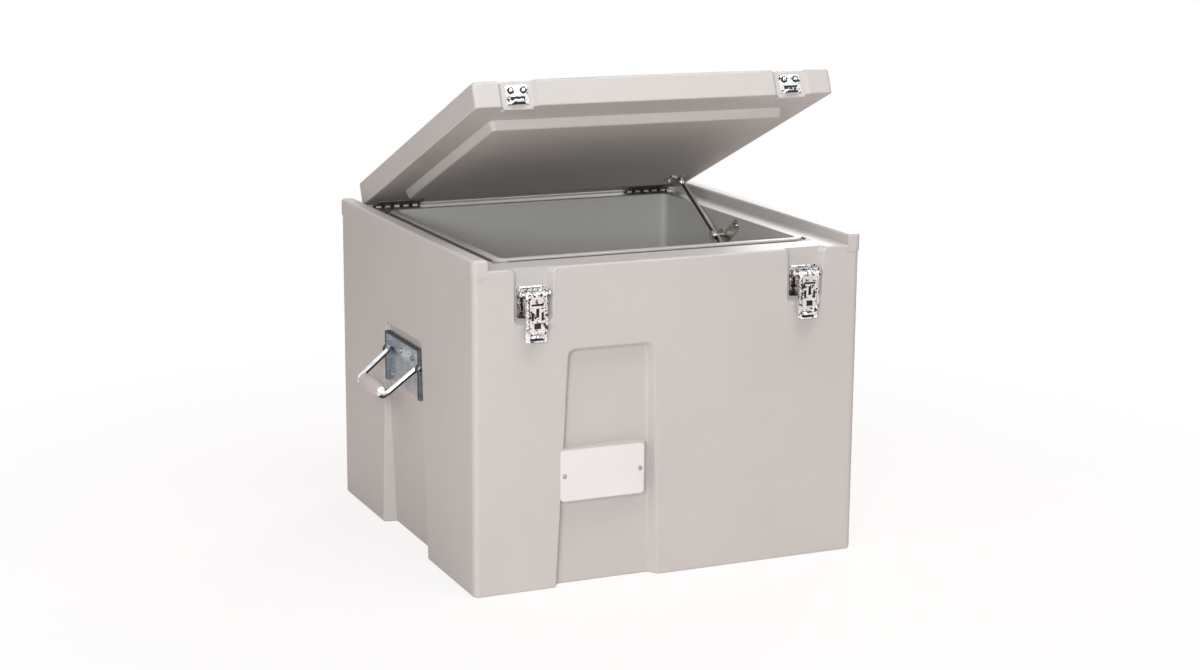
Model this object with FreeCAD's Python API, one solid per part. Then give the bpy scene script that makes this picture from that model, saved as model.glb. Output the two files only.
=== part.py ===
"""Insulated dry ice storage chest: foam-filled moulded body, hinged lid, two draw latches, two bail handles.

Millimetres. +Z is up, +X is to the right seen from the front, and +Y points to the back.
The origin is the middle of the body's footprint, on the surface that the chest stands on.
The lid and all that it carries are drawn closed, then turned to the part-open rest position.
"""
import FreeCAD, Part
import math
import os

V = FreeCAD.Vector
AXIS_X = V(1, 0, 0)
AXIS_Y = V(0, 1, 0)
AXIS_Z = V(0, 0, 1)

# Body moulding
body_width = 600.0
body_depth = 585.0
ledge_height = 461.5
skin = 4.0
side_wall = 67.0
end_wall = 69.0
floor_thickness = 68.0
body_corner_radius = 9.0
foot_edge_radius = 3.0
mouth_radius = 3.0
cavity_corner_radius = 10.0
cavity_floor_radius = 9.0

# Rims that stand along the left and right sides of the ledge
rim_width = 21.0
rim_rise = 15.5
rim_band_height = 25.0
rim_proud = 1.2
rim_edge_radius = 4.0

# Low curb along the ledge's back, between the rims
curb_width = 12.5
curb_rise = 2.5
curb_edge_radius = 2.0

# Raised lip and groove round the mouth
lip_width = 11.0
lip_rise = 3.0
lip_edge_radius = 1.2
groove_width = 6.0
groove_depth = 2.5

# Tapered recess in the front, left of the middle
recess_top = 344.0
recess_top_left = -160.0
recess_top_right = -28.0
recess_foot_left = -178.0
recess_foot_right = -19.0
recess_depth_top = 12.0
recess_depth_foot = 15.0
recess_draft = 8.0
recess_corner_radius = 12.0
recess_root_radius = 4.0

# Tapered channels in the sides, one under each handle
channel_centre = 1.0
channel_top = 321.0
channel_half_top = 80.0
channel_half_foot = 101.5
channel_seat_depth = 7.0
channel_seat_foot = 226.0
channel_foot_depth = 20.0
channel_draft = 5.0
channel_corner_radius = 9.0

# Latch pockets in the front, open at the ledge
latch_inset = 89.0
pocket_width = 48.0
pocket_depth = 9.0
pocket_drop = 73.5
pocket_draft = 5.0
pocket_corner_radius = 10.0
pocket_mouth_radius = 9.0

# Lid
lid_side_gap = 3.0
lid_front_setback = 8.0
lid_back_setback = 31.0
lid_thickness = 39.0
lid_seat_gap = 0.5
lid_crown = 2.0
lid_corner_radius = 6.0
lid_edge_radius = 4.0
lid_under_radius = 2.0
plug_side_gap = 2.0
plug_front_gap = 8.0
plug_rear_gap = 41.0
plug_depth = 13.5
plug_draft = 4.0
plug_edge_radius = 3.0
plug_corner_radius = 8.0
notch_width = 46.0
notch_depth = 6.0
notch_draft = 5.0
notch_foot_drop = 3.0
notch_foot_reach = 14.0
lid_open_angle = 22.5
lid_full_angle = 75.0

# Hinges
hinge_length = 76.0
hinge_inset = 83.0
hinge_leaf = 1.5
hinge_leaf_width = 26.0
hinge_barrel_radius = 4.5
hinge_pin_radius = 2.5
hinge_setback = 7.0
hinge_knuckles = 5
knuckle_gap = 0.5
hinge_screws_per_leaf = 3
hinge_pin_head = 1.2
hinge_pin_head_step = 1.0
hinge_leaf_corner = 3.0
hinge_screw_stagger = 3.0

# Fits
pin_clearance = 0.05
screw_clearance = 0.2
moving_gap = 0.5

# Screws
screw_shank_radius = 1.9
screw_head_radius = 4.0
screw_head_height = 2.4
screw_length = 11.0
screw_crown_share = 0.6
small_screw_head_radius = 3.2
small_screw_head_height = 1.6
countersink_depth = 1.3

# Draw latches
latch_plate_width = 44.0
latch_plate_height = 44.0
latch_plate_rise = 3.0
latch_sheet = 1.5
latch_pin_radius = 2.0
latch_pin_reach = 9.9
latch_pin_drop = 10.0
latch_ear_height = 14.0
latch_ear_nose = 4.5
latch_plate_corner = 3.0
latch_pin_end = 0.8
latch_pin_head = 1.2
latch_pin_head_step = 1.0
latch_screw_side = 9.0
latch_screw_rises = (6.0, 22.0)
lever_width = 31.0
lever_length = 65.0
lever_web_reach = 5.0
lever_top = 6.0
lever_cheek_drop = 12.0
lever_flare = 4.0
lever_flare_height = 11.0
lever_corner = 6.0
lever_brow_drop = 2.0
lever_brow_fall = 1.0
lever_tab_lean = 0.2
lever_tab_drop = 0.4
lever_tab_bend = 0.6
lever_cheek_bite = 0.5
lever_cheek_nose = 2.2
lever_cheek_reach = 2.0
lever_cheek_length = 30.0
lever_cheek_tail = 2.0
claw_width = 23.0
claw_length = 50.0
claw_sheet = 1.6
claw_standoff = 3.6
claw_rise = 1.5
claw_eye_radius = 2.6
claw_pin_radius = 1.5
claw_window_width = 18.0
claw_window_height = 9.0
claw_window_drop = 43.0
claw_gap = 0.4
claw_corner = 5.0
claw_window_corner = 1.5
claw_pin_end = 0.5

# Strikes on the lid
strike_width = 36.0
strike_height = 32.0
strike_sheet = 1.5
strike_foot_rise = 3.0
strike_hook_width = 15.0
strike_hook_reach = 8.5
strike_hook_height = 7.0
strike_screw_spacing = 20.0
strike_screw_drop = 8.0
strike_corner = 3.0
strike_hook_bend = 1.5
strike_hook_inside = 0.6

# Bail handles
handle_plate_width = 148.0
handle_plate_height = 76.0
handle_plate_foot = 233.0
handle_plate_centre = -0.5
handle_sheet = 2.5
handle_flange_reach = 8.0
handle_flange_corner = 3.0
handle_ear_radius = 7.0
handle_pivot_height = 281.0
handle_pivot_reach = 5.0
handle_screws_high = (27.0, 286.5)
handle_screws_low = (62.0, 243.0)
bail_radius = 4.0
bail_arm = 60.0
bail_half_width = 60.0
bail_root_half_width = 65.0
bail_bend_radius = 7.0
bail_end = 3.0
bail_drop_angle = 38.0
grip_length = 88.0
grip_middle_radius = 12.5
grip_end_radius = 8.5
grip_corner = 2.5
grip_steps = 4

# Lid stay on the right
stay_plane_gap = 12.0
stay_arm_sheet = 3.0
stay_arm_width = 12.0
stay_slot_width = 5.0
stay_slot_clearance = 0.2
stay_stud_back = 16.5
stay_stud_drop = 31.5
stay_stud_radius = 3.5
stay_bracket_back = 137.5
stay_bracket_drop = 20.0
stay_tail = 12.0
stay_pivot_radius = 2.5
stay_plate_sheet = 2.2
stay_plate_width = 18.0
stay_plate_screw_backs = (-32.5, 20.5)
stay_plate_screw_drops = (9.5, 49.5)
stay_bracket_sheet = 2.0
stay_bracket_foot = 22.0
stay_bracket_length = 40.0
stay_bracket_corner = 3.0
stay_bracket_screw_spacing = 24.0
stay_tab_foot_half = 8.0
stay_tab_nose_half = 5.5
stay_tab_nose = 5.0
stay_knob_radius = 7.0
stay_knob_height = 6.0
stay_washer = 1.2
stay_washer_step = 1.0
stay_washer_gap = 0.15
stay_rivet_head = 1.5
stay_rivet_head_step = 2.0

# Label plate
label_width = 128.0
label_height = 73.0
label_left = -171.5
label_foot = 126.0
label_sheet = 1.5
label_corner_radius = 5.0
label_pad_margin = 2.0
label_screw_inset = 6.0

# Places worked out from the sizes above
half_width = body_width / 2
half_depth = body_depth / 2
front = -half_depth
rim_top = ledge_height + rim_rise
cavity_half_width = half_width - side_wall
cavity_half_depth = half_depth - end_wall
lip_top = ledge_height + lip_rise
lid_under = lip_top + lid_seat_gap
lid_top = lid_under + lid_thickness
lid_half_width = half_width - rim_width - lid_side_gap
lid_front = front + lid_front_setback
lid_rear = half_depth - lid_back_setback
lid_length = lid_rear - lid_front
hinge_y = lid_rear + hinge_setback
hinge_z = ledge_height + hinge_barrel_radius
latch_places = (latch_inset - half_width, half_width - latch_inset)
hinge_places = (hinge_inset - half_width, half_width - hinge_inset)
pocket_floor = front + pocket_depth
pocket_foot = ledge_height - pocket_drop
above = 40.0
outside = 1.0
through = 9.0


def box(x0, x1, y0, y1, z0, z1):
    return Part.makeBox(x1 - x0, y1 - y0, z1 - z0, V(x0, y0, z0))


def rod(start, end, radius):
    """A round bar between two points."""
    return Part.makeCylinder(radius, (end - start).Length, start, end - start)


def runs_along(edge, axis):
    """True for a straight edge parallel to an axis."""
    if edge.Curve.TypeId != "Part::GeomLine":
        return False
    return abs(abs(edge.tangentAt(edge.FirstParameter).dot(axis)) - 1) < 1e-6


def at_height(edge, z):
    span = edge.BoundBox
    return abs(span.ZMin - z) < 1e-4 and abs(span.ZMax - z) < 1e-4


def rounded(shape, radius, chosen):
    """The shape with the chosen edges rounded."""
    return shape.makeFillet(radius, [edge for edge in shape.Edges if chosen(edge)])


def rounded_box(x0, x1, y0, y1, z0, z1, radius):
    """A box with its four upright corners rounded."""
    return rounded(box(x0, x1, y0, y1, z0, z1), radius, lambda edge: runs_along(edge, AXIS_Z))


def loft(*rings):
    """A solid with flat sides through rings of the same number of points."""
    wires = [Part.makePolygon(list(ring) + [ring[0]]) for ring in rings]
    return Part.makeLoft(wires, True, True)


def plate(points, depth):
    """A flat outline pushed out along a vector."""
    return Part.Face(Part.makePolygon(list(points) + [points[0]])).extrude(depth)


def bent_rod(points, radius, bend):
    """Round wire along straight runs that are joined by arcs."""
    edges = []
    start = points[0]
    for before, corner, after in zip(points, points[1:], points[2:]):
        back = (before - corner).normalize()
        ahead = (after - corner).normalize()
        half = back.getAngle(ahead) / 2
        trim = bend / math.tan(half)
        first = corner + back * trim
        last = corner + ahead * trim
        middle_way = (back + ahead).normalize()
        middle = corner + middle_way * (bend / math.sin(half) - bend)
        edges.append(Part.LineSegment(start, first).toShape())
        edges.append(Part.Arc(first, middle, last).toShape())
        start = last
    edges.append(Part.LineSegment(start, points[-1]).toShape())
    profile = Part.Wire(Part.Circle(points[0], points[1] - points[0], radius).toShape())
    return Part.Wire(edges).makePipeShell([profile], True, True)


def mirrored(shape):
    return shape.mirror(V(0, 0, 0), AXIS_X)


def opened(shape):
    """Turn what the lid carries from closed to the rest position."""
    turned = shape.copy()
    turned.rotate(V(0, hinge_y, hinge_z), V(-1, 0, 0), lid_open_angle)
    return turned


def save(name, shape):
    shape.exportStep(f"parts/{name}.step")


def pan_screw(seat, inward, head_radius, head_height):
    """A screw whose low domed head sits on a face and whose shank goes inward."""
    inward = V(inward).normalize()
    shoulder = seat - inward * (head_height / 2)
    head = rod(seat, shoulder, head_radius)
    dome = Part.makeCone(head_radius, head_radius * screw_crown_share, head_height / 2, shoulder, -inward)
    return head.fuse(dome).fuse(rod(seat, seat + inward * screw_length, screw_shank_radius))


def countersunk_screw(seat, inward):
    """A flat-headed screw, flush with the face it is set in."""
    inward = V(inward).normalize()
    head = Part.makeCone(screw_head_radius, screw_shank_radius, countersink_depth, seat, inward)
    return head.fuse(rod(seat, seat + inward * screw_length, screw_shank_radius))


def countersunk_hole(seat, inward):
    inward = V(inward).normalize()
    mouth = Part.makeCone(screw_head_radius + screw_clearance, screw_shank_radius + screw_clearance,
                          countersink_depth, seat, inward)
    return mouth.fuse(rod(seat, seat + inward * screw_length, screw_shank_radius + screw_clearance))


def recess_tool(grow):
    """The space of the front recess; grow adds the wall's thickness round it."""
    deep = recess_depth_foot + 2 * outside
    slope = recess_draft * (deep + outside) / recess_depth_foot

    def ring(y, shrink):
        low = -grow - outside
        drift = (low - recess_top) / recess_top
        left = recess_top_left + (recess_top_left - recess_foot_left) * drift
        right = recess_top_right + (recess_top_right - recess_foot_right) * drift
        top = recess_top + grow - shrink
        return [V(left - grow + shrink, y, low), V(right + grow - shrink, y, low),
                V(recess_top_right + grow - shrink, y, top), V(recess_top_left - grow + shrink, y, top)]

    body = loft(ring(front - outside, 0), ring(front + deep + grow, slope))
    body = rounded(body, recess_corner_radius, lambda edge: (
        edge.BoundBox.YLength > deep and edge.CenterOfMass.z > recess_top / 2))
    floor = plate([V(-half_width, front - outside, -grow - outside),
                   V(-half_width, front + recess_depth_foot + grow, -grow - outside),
                   V(-half_width, front + recess_depth_foot + grow, 0),
                   V(-half_width, front + recess_depth_top + grow, recess_top),
                   V(-half_width, front + recess_depth_top + grow, recess_top + above),
                   V(-half_width, front - outside, recess_top + above)], V(body_width, 0, 0))
    near = front + recess_depth_top + grow - outside
    return rounded(body.common(floor), recess_root_radius + grow, lambda edge: (
        edge.BoundBox.YMin > near and edge.CenterOfMass.z > 0))


def channel_tool(grow):
    """The space of the left side channel; grow adds the wall's thickness round it."""
    deep = channel_foot_depth + 2 * outside
    slope = channel_draft * (deep + outside) / channel_foot_depth
    side = -half_width

    def ring(x, shrink):
        low = -grow - outside
        foot = channel_half_foot + (channel_half_foot - channel_half_top) * (-low) / channel_top
        foot = foot + grow - shrink
        head = channel_half_top + grow - shrink
        top = channel_top + grow - shrink
        return [V(x, channel_centre - foot, low), V(x, channel_centre + foot, low),
                V(x, channel_centre + head, top), V(x, channel_centre - head, top)]

    body = loft(ring(side - outside, 0), ring(side + deep + grow, slope))
    body = rounded(body, channel_corner_radius, lambda edge: (
        edge.BoundBox.XLength > deep and edge.CenterOfMass.z > channel_top / 2))
    floor = plate([V(side - outside, -half_depth, -grow - outside),
                   V(side + channel_foot_depth + grow, -half_depth, -grow - outside),
                   V(side + channel_foot_depth + grow, -half_depth, 0),
                   V(side + channel_seat_depth + grow, -half_depth, channel_seat_foot),
                   V(side + channel_seat_depth + grow, -half_depth, channel_top + above),
                   V(side - outside, -half_depth, channel_top + above)], V(0, body_depth, 0))
    return body.common(floor)


def pocket_tool(centre, grow):
    """The space of one latch pocket, open upwards."""
    top = ledge_height + above

    def ring(y, widen):
        half = pocket_width / 2 + grow + widen
        foot = pocket_foot - grow - widen
        return [V(centre - half, y, foot), V(centre + half, y, foot),
                V(centre + half, y, top), V(centre - half, y, top)]

    flare = pocket_draft * (pocket_depth + outside) / pocket_depth
    body = loft(ring(front - outside, flare), ring(pocket_floor + grow, 0))
    return rounded(body, pocket_corner_radius, lambda edge: (
        edge.BoundBox.YLength > pocket_depth / 2 and edge.CenterOfMass.z < pocket_foot + above))


def cavity_tool(grow, top):
    """The ice cavity with rounded corners and a rounded floor edge."""
    foot = floor_thickness - grow
    space = rounded_box(-cavity_half_width - grow, cavity_half_width + grow,
                        -cavity_half_depth - grow, cavity_half_depth + grow,
                        foot, top, cavity_corner_radius + grow)
    return rounded(space, cavity_floor_radius + grow, lambda edge: at_height(edge, foot))


def side_rim():
    """The left rim with the shallow band that it forms on the outside."""
    outer = rounded_box(-half_width - rim_proud, half_width, front - rim_proud, half_depth + rim_proud,
                        rim_top - rim_band_height, rim_top, body_corner_radius)
    strip = outer.common(box(-half_width - outside - rim_proud, -half_width + rim_width,
                             front - outside - rim_proud, half_depth + outside + rim_proud,
                             0, rim_top + outside))
    return rounded(strip, rim_edge_radius, lambda edge: at_height(edge, rim_top))


def label_pad():
    """Moulded pad that carries the label plate flush with the front face."""
    inside = -label_pad_margin
    return box(label_left - inside * 2, label_left + label_width - inside, front,
               front + recess_depth_foot + skin, label_foot + inside, label_foot + label_height - inside)


def foam_space():
    """What the foam fills: the body less its skin."""
    core = rounded_box(-half_width + skin, half_width - skin, front + skin, half_depth - skin,
                       skin, ledge_height - skin, body_corner_radius - skin)
    core = core.cut(cavity_tool(skin, ledge_height + above))
    core = core.cut(recess_tool(skin))
    core = core.cut(channel_tool(skin))
    core = core.cut(mirrored(channel_tool(skin)))
    for centre in latch_places:
        core = core.cut(pocket_tool(centre, skin))
    return core


def on_front(edge):
    """True for an edge in the plane of the front, clear of the body's upright corners and its foot."""
    span = edge.BoundBox
    flat = abs(span.YMin - front) < 1e-3 and abs(span.YMax - front) < 1e-3
    return flat and span.ZMax > outside and abs(edge.CenterOfMass.x) < half_width - body_corner_radius


def on_side(edge):
    """True for an edge of a side channel's mouth."""
    span = edge.BoundBox
    flat = abs(abs(span.XMin) - half_width) < 1e-3 and abs(abs(span.XMax) - half_width) < 1e-3
    inside = abs(edge.CenterOfMass.y - channel_centre) < channel_half_foot + channel_draft
    return flat and inside and span.ZMax > outside and span.ZMax < channel_top + outside


def pocket_shoulder(edge):
    """True for the edges between the ledge and a latch pocket's sides."""
    span = edge.BoundBox
    across = span.YLength > pocket_depth / 2 and span.YMax < pocket_floor + outside
    return at_height(edge, ledge_height) and across and abs(edge.CenterOfMass.x) < half_width - rim_width


def back_curb():
    """The low curb behind the lid, from rim to rim."""
    reach = half_width - rim_width + rim_edge_radius
    top = ledge_height + curb_rise
    curb = box(-reach, reach, half_depth - curb_width, half_depth, ledge_height - skin, top)
    return rounded(curb, curb_edge_radius, lambda edge: at_height(edge, top) and runs_along(edge, AXIS_X))


def body_outer():
    """The body moulding's outer form with its cavity, before the foam space is taken out."""
    shape = rounded_box(-half_width, half_width, front, half_depth, 0, ledge_height, body_corner_radius)
    for centre in latch_places:
        shape = shape.cut(pocket_tool(centre, 0))
    shape = rounded(shape, pocket_mouth_radius, pocket_shoulder)
    shape = shape.cut([recess_tool(0), channel_tool(0), mirrored(channel_tool(0))])
    shape = rounded(shape, mouth_radius, on_side)
    shape = rounded(shape, mouth_radius, on_front)
    shape = rounded(shape, foot_edge_radius, lambda edge: at_height(edge, 0))
    rim = side_rim()
    shape = shape.fuse([rim, mirrored(rim), label_pad(), back_curb()])
    lip = rounded_box(-cavity_half_width - lip_width, cavity_half_width + lip_width,
                      -cavity_half_depth - lip_width, cavity_half_depth + lip_width,
                      ledge_height - groove_depth, lip_top, cavity_corner_radius + lip_width)
    lip = rounded(lip, lip_edge_radius, lambda edge: at_height(edge, lip_top))
    wide = lip_width + groove_width
    groove = rounded_box(-cavity_half_width - wide, cavity_half_width + wide,
                         -cavity_half_depth - wide, cavity_half_depth + wide,
                         ledge_height - groove_depth, ledge_height + outside, cavity_corner_radius + wide)
    shape = shape.cut(groove).fuse(lip)
    return shape.cut(cavity_tool(0, ledge_height + above))


def lid_blank(inset):
    """The lid slab, crowned across its width; inset draws every face in."""
    half = lid_half_width - inset
    low = lid_under + inset
    edge_z = lid_top - lid_crown - inset
    top_z = lid_top - inset
    y0 = lid_front + inset
    crown = Part.Arc(V(half, y0, edge_z), V(0, y0, top_z), V(-half, y0, edge_z)).toShape()
    under = Part.makePolygon([V(-half, y0, edge_z), V(-half, y0, low), V(half, y0, low), V(half, y0, edge_z)])
    outline = Part.Wire([crown] + under.Edges)
    slab = Part.Face(outline).extrude(V(0, lid_length - 2 * inset, 0))
    return rounded(slab, lid_corner_radius - inset, lambda edge: runs_along(edge, AXIS_Z))


def lid_plug(inset):
    """The raised plug under the lid that drops into the mouth."""
    half = cavity_half_width - plug_side_gap - inset
    y0 = -cavity_half_depth + plug_front_gap + inset
    y1 = cavity_half_depth - plug_rear_gap - inset

    def ring(z, shrink):
        return [V(-half + shrink, y0 + shrink, z), V(half - shrink, y0 + shrink, z),
                V(half - shrink, y1 - shrink, z), V(-half + shrink, y1 - shrink, z)]

    top = lid_under + skin + inset
    body = loft(ring(top, 0), ring(lid_under, 0), ring(lid_under - plug_depth + inset, plug_draft))
    return rounded(body, plug_corner_radius, lambda edge: (
        edge.BoundBox.ZLength > skin / 2 and edge.BoundBox.XLength < 2 * plug_draft))


def notch_tool(centre, grow):
    """The space of one notch in the lid's front edge."""
    def ring(y, widen):
        half = notch_width / 2 + grow + widen
        return [V(centre - half, y, lid_under - above), V(centre + half, y, lid_under - above),
                V(centre + half, y, lid_top + above), V(centre - half, y, lid_top + above)]

    flare = notch_draft * (notch_depth + outside) / notch_depth
    return loft(ring(lid_front - outside, flare), ring(lid_front + notch_depth + grow, 0))


def lid_foam_space():
    core = lid_blank(skin).fuse(lid_plug(skin))
    for centre in latch_places:
        core = core.cut(notch_tool(centre, skin))
    return core


def lid_outer():
    shape = lid_blank(0)
    for centre in latch_places:
        shape = shape.cut(notch_tool(centre, 0))
    top_edges = lambda edge: edge.BoundBox.ZMin > lid_top - lid_crown - 0.01
    shape = rounded(shape, lid_edge_radius, top_edges)
    shape = rounded(shape, lid_under_radius, lambda edge: at_height(edge, lid_under))
    plug_foot = lid_under - plug_depth
    plug = rounded(lid_plug(0), plug_edge_radius, lambda edge: at_height(edge, plug_foot))
    return shape.fuse([plug] + [notch_foot(centre) for centre in latch_places])


def notch_foot(centre):
    """The moulding under a notch that fills the top of the latch pocket."""
    face = lid_front + notch_depth
    half = notch_width / 2 - notch_foot_drop / 2
    foot = box(centre - half, centre + half, face, face + notch_foot_reach,
               lid_under - notch_foot_drop, lid_under + skin / 2)
    return rounded(foot, notch_foot_drop / 2, lambda edge: at_height(edge, lid_under - notch_foot_drop))


def knuckles(centre, first):
    """Every second knuckle's span along one hinge, starting at the given number."""
    step = hinge_length / hinge_knuckles
    start = centre - hinge_length / 2
    return [(start + number * step + knuckle_gap / 2, start + (number + 1) * step - knuckle_gap / 2)
            for number in range(first, hinge_knuckles, 2)]


def hinge_leaf_shape(centre, first, low):
    """One leaf with its knuckles, in the closed position."""
    clear = hinge_y - hinge_barrel_radius - moving_gap
    sheet = box(centre - hinge_length / 2, centre + hinge_length / 2,
                clear - hinge_leaf_width, clear, low, low + hinge_leaf)
    sheet = rounded(sheet, hinge_leaf_corner, lambda edge: (
        runs_along(edge, AXIS_Z) and edge.CenterOfMass.y < clear - 1))
    for x0, x1 in knuckles(centre, first):
        sheet = sheet.fuse(box(x0, x1, clear - 1, hinge_y, low, low + hinge_leaf))
        sheet = sheet.fuse(rod(V(x0, hinge_y, hinge_z), V(x1, hinge_y, hinge_z), hinge_barrel_radius))
    bore = rod(V(centre - hinge_length, hinge_y, hinge_z), V(centre + hinge_length, hinge_y, hinge_z),
               hinge_pin_radius + pin_clearance)
    return sheet.cut(bore)


def hinge_screw_places(centre):
    middle = hinge_y - hinge_barrel_radius - moving_gap - hinge_leaf_width / 2
    step = hinge_length / hinge_screws_per_leaf
    return [(centre - hinge_length / 2 + (number + 0.5) * step, middle - hinge_screw_stagger * (-1) ** number)
            for number in range(hinge_screws_per_leaf)]


def fixed_leaf(centre):
    leaf = hinge_leaf_shape(centre, 0, ledge_height)
    for x, y in hinge_screw_places(centre):
        leaf = leaf.cut(countersunk_hole(V(x, y, ledge_height + hinge_leaf), -AXIS_Z))
    return leaf


def moving_leaf(centre):
    leaf = hinge_leaf_shape(centre, 1, lid_under - hinge_leaf)
    for x, y in hinge_screw_places(centre):
        leaf = leaf.cut(countersunk_hole(V(x, y, lid_under - hinge_leaf), AXIS_Z))
    return leaf


def hinge_pin(centre):
    half = hinge_length / 2
    pin = rod(V(centre - half, hinge_y, hinge_z), V(centre + half, hinge_y, hinge_z), hinge_pin_radius)
    for end, way in ((centre - half, -1), (centre + half, 1)):
        pin = pin.fuse(rod(V(end, hinge_y, hinge_z), V(end + way * hinge_pin_head, hinge_y, hinge_z),
                           hinge_barrel_radius - hinge_pin_head_step))
    return pin


def latch_pivot(centre):
    """The lever pin's middle: y, z."""
    plate_face = pocket_floor - latch_sheet
    return plate_face - latch_pin_reach, pocket_foot + latch_plate_rise + latch_plate_height - latch_pin_drop


def claw_pivot(centre):
    """The claw pin's middle, outside the lever's web: y, z."""
    y, z = latch_pivot(centre)
    return y - lever_web_reach - latch_sheet - claw_standoff, z + claw_rise


def latch_screw_places(centre):
    foot = pocket_foot + latch_plate_rise
    return [(centre + side * latch_screw_side, foot + rise) for side in (-1, 1) for rise in latch_screw_rises]


def both_sides(centre, inner, outer):
    """The spans along X of a pair of walls that stand the same way out from a middle."""
    return [(centre - outer, centre - inner), (centre + inner, centre + outer)]


def latch_base(centre):
    """Base plate with two ears that hold the lever's pin."""
    y, z = latch_pivot(centre)
    foot = pocket_foot + latch_plate_rise
    half = latch_plate_width / 2
    face = pocket_floor - latch_sheet
    base = box(centre - half, centre + half, face, pocket_floor, foot, foot + latch_plate_height)
    base = rounded(base, latch_plate_corner, lambda edge: runs_along(edge, AXIS_Y))
    for x0, x1 in both_sides(centre, half - latch_sheet, half):
        ear = plate([V(x0, y, z + latch_ear_nose), V(x0, y, z - latch_ear_nose),
                     V(x0, face + latch_sheet / 2, z - latch_ear_height / 2),
                     V(x0, face + latch_sheet / 2, z + latch_ear_height / 2)], V(x1 - x0, 0, 0))
        base = base.fuse(ear.fuse(rod(V(x0, y, z), V(x1, y, z), latch_ear_nose)))
    base = base.cut(rod(V(centre - half - 1, y, z), V(centre + half + 1, y, z),
                        latch_pin_radius + pin_clearance))
    for x, height in latch_screw_places(centre):
        base = base.cut(countersunk_hole(V(x, face, height), AXIS_Y))
    return base


def latch_pin(centre):
    y, z = latch_pivot(centre)
    half = latch_plate_width / 2
    reach = half + latch_pin_end
    pin = rod(V(centre - reach, y, z), V(centre + reach, y, z), latch_pin_radius)
    for side in (-1, 1):
        end = centre + side * (half + pin_clearance)
        pin = pin.fuse(rod(V(end, y, z), V(end + side * latch_pin_head, y, z),
                           latch_pin_radius + latch_pin_head_step))
    return pin


def latch_lever(centre):
    """Pressed channel that hangs from the pin, with lugs for the claw and a flared finger tab at its foot."""
    y, z = latch_pivot(centre)
    claw_y, claw_z = claw_pivot(centre)
    half = lever_width / 2
    web = y - lever_web_reach
    face = web - latch_sheet
    foot = z - lever_length
    flare_start = foot + lever_flare_height
    side = centre - half
    brow = z + lever_top - lever_brow_drop
    outline = [V(side, web, brow), V(side, face, brow - lever_brow_fall),
               V(side, face, flare_start), V(side, face - lever_flare, foot),
               V(side, web - lever_flare + lever_tab_lean, foot - lever_tab_drop),
               V(side, web, flare_start - lever_tab_bend)]
    lever = plate(outline, V(lever_width, 0, 0))
    lever = rounded(lever, lever_corner, lambda edge: (
        edge.BoundBox.ZMax < foot + 1 and not runs_along(edge, AXIS_X) and edge.Length < 3))
    for x0, x1 in both_sides(centre, half - latch_sheet, half):
        cheek = plate([V(x0, web - lever_cheek_bite, z + lever_top - lever_cheek_nose),
                       V(x0, y, z + lever_top), V(x0, y + lever_top, z),
                       V(x0, y + lever_top / 2, z - lever_cheek_drop),
                       V(x0, web + lever_cheek_reach, z - lever_cheek_length),
                       V(x0, web - lever_cheek_bite, flare_start + lever_cheek_tail)], V(x1 - x0, 0, 0))
        lever = lever.fuse(cheek)
    inner = claw_width / 2 + claw_gap
    for x0, x1 in both_sides(centre, inner, inner + latch_sheet):
        root = face + lever_cheek_bite
        lug = plate([V(x0, root, claw_z + claw_eye_radius), V(x0, claw_y, claw_z + claw_eye_radius),
                     V(x0, claw_y, claw_z - claw_eye_radius), V(x0, root, claw_z - 2 * claw_eye_radius)],
                    V(latch_sheet, 0, 0))
        lever = lever.fuse(lug.fuse(rod(V(x0, claw_y, claw_z), V(x1, claw_y, claw_z), claw_eye_radius)))
    lever = lever.cut(rod(V(centre - half - 1, y, z), V(centre + half + 1, y, z),
                          latch_pin_radius + pin_clearance))
    return lever.cut(rod(V(centre - half - 1, claw_y, claw_z), V(centre + half + 1, claw_y, claw_z),
                         claw_pin_radius + pin_clearance))


def latch_claw(centre):
    """Flat claw with a rolled eye and a window, hanging down over the lever."""
    y, z = claw_pivot(centre)
    half = claw_width / 2
    sheet = box(centre - half, centre + half, y - claw_sheet / 2, y + claw_sheet / 2, z - claw_length, z)
    sheet = rounded(sheet, claw_corner, lambda edge: (
        runs_along(edge, AXIS_Y) and edge.CenterOfMass.z < z - 1))
    middle = z - claw_window_drop
    window = box(centre - claw_window_width / 2, centre + claw_window_width / 2, y - claw_sheet, y + claw_sheet,
                 middle - claw_window_height / 2, middle + claw_window_height / 2)
    window = rounded(window, claw_window_corner, lambda edge: runs_along(edge, AXIS_Y))
    claw = sheet.cut(window).fuse(rod(V(centre - half, y, z), V(centre + half, y, z), claw_eye_radius))
    return claw.cut(rod(V(centre - half - 1, y, z), V(centre + half + 1, y, z), claw_pin_radius + pin_clearance))


def latch_claw_pin(centre):
    y, z = claw_pivot(centre)
    half = claw_width / 2 + claw_gap + latch_sheet + claw_pin_end
    return rod(V(centre - half, y, z), V(centre + half, y, z), claw_pin_radius)


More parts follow.
